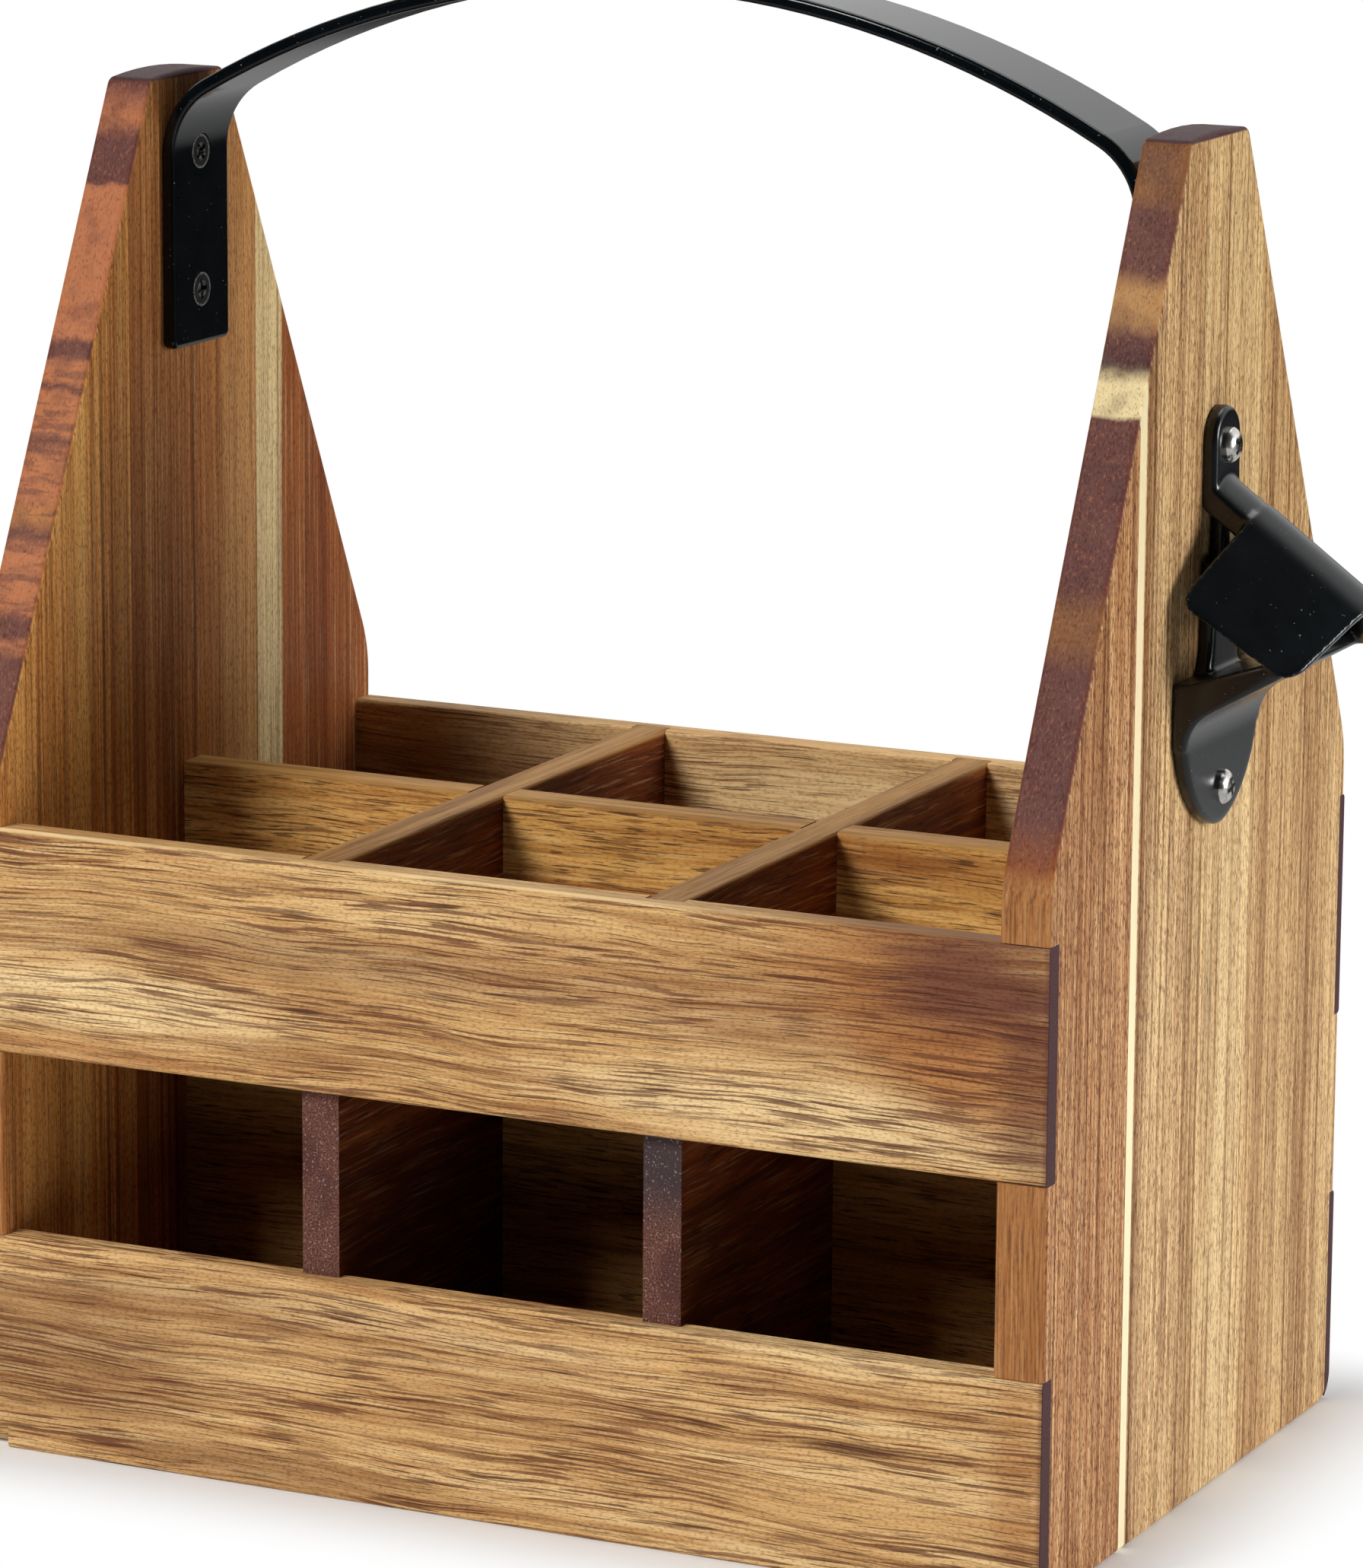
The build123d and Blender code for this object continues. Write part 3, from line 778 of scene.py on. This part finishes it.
def makeOpener():
    bpy.ops.object.select_all(action="DESELECT")
    casting = bpy.data.objects.new("opener_casting", nodes["bottle_opener"].data.copy())
    bpy.context.scene.collection.objects.link(casting)
    casting.select_set(True)
    bpy.context.view_layer.objects.active = casting
    bpy.ops.object.mode_set(mode="EDIT")
    bpy.ops.mesh.select_all(action="SELECT")
    bpy.ops.mesh.remove_doubles(threshold=opener["weld"])
    bpy.ops.object.mode_set(mode="OBJECT")
    remesh = casting.modifiers.new("casting", "REMESH")
    remesh.mode = "VOXEL"
    remesh.voxel_size = opener["voxel"]
    remesh.use_smooth_shade = True
    bpy.ops.object.modifier_apply(modifier=remesh.name)
    soft = casting.modifiers.new("soft", "SMOOTH")
    soft.factor = opener["softness"]
    soft.iterations = opener["smoothing"]
    bpy.ops.object.modifier_apply(modifier=soft.name)
    bpy.ops.object.shade_smooth()
    casting.data.materials.clear()
    casting.data.materials.append(blackCoat("casting_coat", opener["roughness"], opener["level"]))
    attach(casting, "root")
    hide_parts("bottle_opener")
    print("opener casting:", len(casting.data.polygons), "faces")


# Strap handle: the same coating, smoother
strap = {
    "roughness": 0.13,
    "level": 0.3,
}

handleScrew = {
    "heights": (283.4, 251.9),
    "rim": (3.2, 3.75), "rimPatches": (0.36, 0.56),
    "recess": (2.3, 1.6), "recessPatches": (0.46, 0.6), "recessStrength": 0.8,
    "scratchScale": 1800,
    "blackStops": ((0.35, tone(8, 9, 10)), (0.65, tone(22, 22, 22))),
    "bare": tone(150, 148, 142), "bareMetal": 0.8,
    "roughness": 0.2, "scratchRoughness": 0.3, "relief": 0.00003,
    "level": 0.3,
}


# The black is worn off the rims and out of the recesses
def handleScrewCoat():
    made, shader, place = newMaterial("black_screw")
    x, y, z = (part * 1000 for part in place.parts())
    heights = handleScrew["heights"]
    upper, lower = (place.joined(y, z - height, 0.0).length() for height in heights)
    far = upper.maths("MINIMUM", lower)
    scratch = place.noise(scale=handleScrew["scratchScale"], detail=3.0, roughness=0.7)
    rim = far.rise(*handleScrew["rim"]) * scratch.rise(*handleScrew["rimPatches"])
    recess = far.rise(*handleScrew["recess"]) * scratch.rise(*handleScrew["recessPatches"])
    worn = rim.maths("MAXIMUM", recess * handleScrew["recessStrength"])
    colour = scratch.ramp(handleScrew["blackStops"])
    feed(shader, "Base Color", colour.under(handleScrew["bare"], worn))
    feed(shader, "Metallic", worn * handleScrew["bareMetal"])
    roughness = scratch * handleScrew["scratchRoughness"] + handleScrew["roughness"]
    feed(shader, "Roughness", roughness)
    feedBump(shader, scratch, handleScrew["relief"])
    shader.inputs["Specular IOR Level"].default_value = handleScrew["level"]
    return made


openerScrew = {
    "smearScale": 700,
    "smearStops": ((0.3, tone(186, 182, 176)), (0.7, tone(232, 230, 226))),
    "roughness": 0.1, "smearRoughness": 0.25, "relief": 0.00004,
}


def openerScrewCoat():
    made, shader, place = newMaterial("bright_screw")
    smear = place.noise(scale=openerScrew["smearScale"], detail=3.0, roughness=0.6)
    feed(shader, "Base Color", smear.ramp(openerScrew["smearStops"]))
    feed(shader, "Roughness", smear * openerScrew["smearRoughness"] + openerScrew["roughness"])
    feedBump(shader, smear, openerScrew["relief"])
    shader.inputs["Metallic"].default_value = 1.0
    return made


makeOpener()
dress("strap_handle", blackCoat("strap_coat", strap["roughness"], strap["level"]))
dress("handle_screws", handleScrewCoat())
dress("opener_screws", openerScrewCoat())
print("metal done")


# Floor, background and lights
studio = {
    "floorSize": 12.0,
    "floorColour": tone(250, 250, 250),
    "floorRoughness": 0.9,
    "white": (-0.01, 0.04),  # how far from the caddy the floor turns plain white
    "nearReflection": 0.6,
    "farReflection": 0.03,
    "reflectionFade": (0.5, 1.5),
    "ambient": 0.025,
    "frontReflection": 0.03,
    "rearDepth": (-0.1, 0.45),
    "rearHeight": (-0.02, 0.2),
    "lamps": {
        "key": {"place": (-0.85, -1.75, 1.5), "size": 0.8, "power": 44},
        "side": {"place": (2.6, 0.3, 0.62), "size": 1.0, "power": 58},
        "top": {"place": (0.1, 0.7, 2.4), "size": 1.2, "power": 15},
    },
    "aim": (0.0, 0.0, 0.14),
}


# 1 for what is seen straight from the camera, in a mirror, and through glass
def lightPath(tree):
    path = tree.nodes.new("ShaderNodeLightPath")
    rays = ("Is Camera Ray", "Is Glossy Ray", "Is Transmission Ray")
    return [Wire(tree, path.outputs[ray]) for ray in rays]


# 1 for any of the three
def seenDirectly(tree):
    direct, glossy, through = lightPath(tree)
    return direct.maths("MAXIMUM", glossy).maths("MAXIMUM", through)


# Pale under the caddy, with its shadow, and white further off
def makeFloor():
    bpy.ops.object.select_all(action="DESELECT")
    bpy.ops.mesh.primitive_plane_add(size=studio["floorSize"], location=(0, 0, 0))
    floor = bpy.context.object
    floor.name = "floor"
    made, shader, place = newMaterial("floor")
    shader.inputs["Base Color"].default_value = studio["floorColour"]
    shader.inputs["Roughness"].default_value = studio["floorRoughness"]
    shader.inputs["Specular IOR Level"].default_value = 0.0
    tree = made.node_tree
    white = tree.nodes.new("ShaderNodeEmission")
    mix = tree.nodes.new("ShaderNodeMixShader")
    x, y, z = place.parts()
    beside = (abs(x) - caddy["halfLength"] / 1000).maths("MAXIMUM", 0.0)
    before = (abs(y) - caddy["halfDepth"] / 1000).maths("MAXIMUM", 0.0)
    away = place.joined(beside, before, 0.0).length()
    further = away.rise(*studio["white"]) * seenDirectly(tree)
    direct = lightPath(tree)[0]
    near, far = studio["nearReflection"], studio["farReflection"]
    reflected = place.length().rise(*studio["reflectionFade"]) * (far - near) + near
    feed(white, "Strength", direct.maths("MAXIMUM", reflected))
    tree.links.new(further.socket, mix.inputs[0])
    tree.links.new(shader.outputs[0], mix.inputs[1])
    tree.links.new(white.outputs[0], mix.inputs[2])
    tree.links.new(mix.outputs[0], tree.nodes["Material Output"].inputs[0])
    floor.data.materials.append(made)


# White where it is seen directly, darker in reflections from the front
def makeWorld():
    world = bpy.data.worlds.new("studio")
    bpy.context.scene.world = world
    world.use_nodes = True
    tree = world.node_tree
    background = tree.nodes["Background"]
    background.inputs["Color"].default_value = (1, 1, 1, 1)
    towards = Wire(tree, tree.nodes.new("ShaderNodeTexCoord").outputs["Generated"])
    direct, glossy = lightPath(tree)[:2]
    x, y, z = towards.parts()
    rear = y.rise(*studio["rearDepth"]) * z.rise(*studio["rearHeight"])
    rear = rear * (1 - studio["frontReflection"]) + studio["frontReflection"]
    lit = 1 - seenDirectly(tree)
    strength = direct + glossy * rear + lit * studio["ambient"]
    tree.links.new(strength.socket, background.inputs["Strength"])


def makeLamps():
    for name, lamp in studio["lamps"].items():
        data = bpy.data.lights.new(name, "AREA")
        data.shape = "SQUARE"
        data.size = lamp["size"]
        data.energy = lamp["power"]
        holder = bpy.data.objects.new(name, data)
        bpy.context.scene.collection.objects.link(holder)
        holder.location = lamp["place"]
        towards = Vector(studio["aim"]) - Vector(lamp["place"])
        holder.rotation_euler = towards.to_track_quat("-Z", "Y").to_euler()


makeFloor()
makeWorld()
makeLamps()
print("studio done")
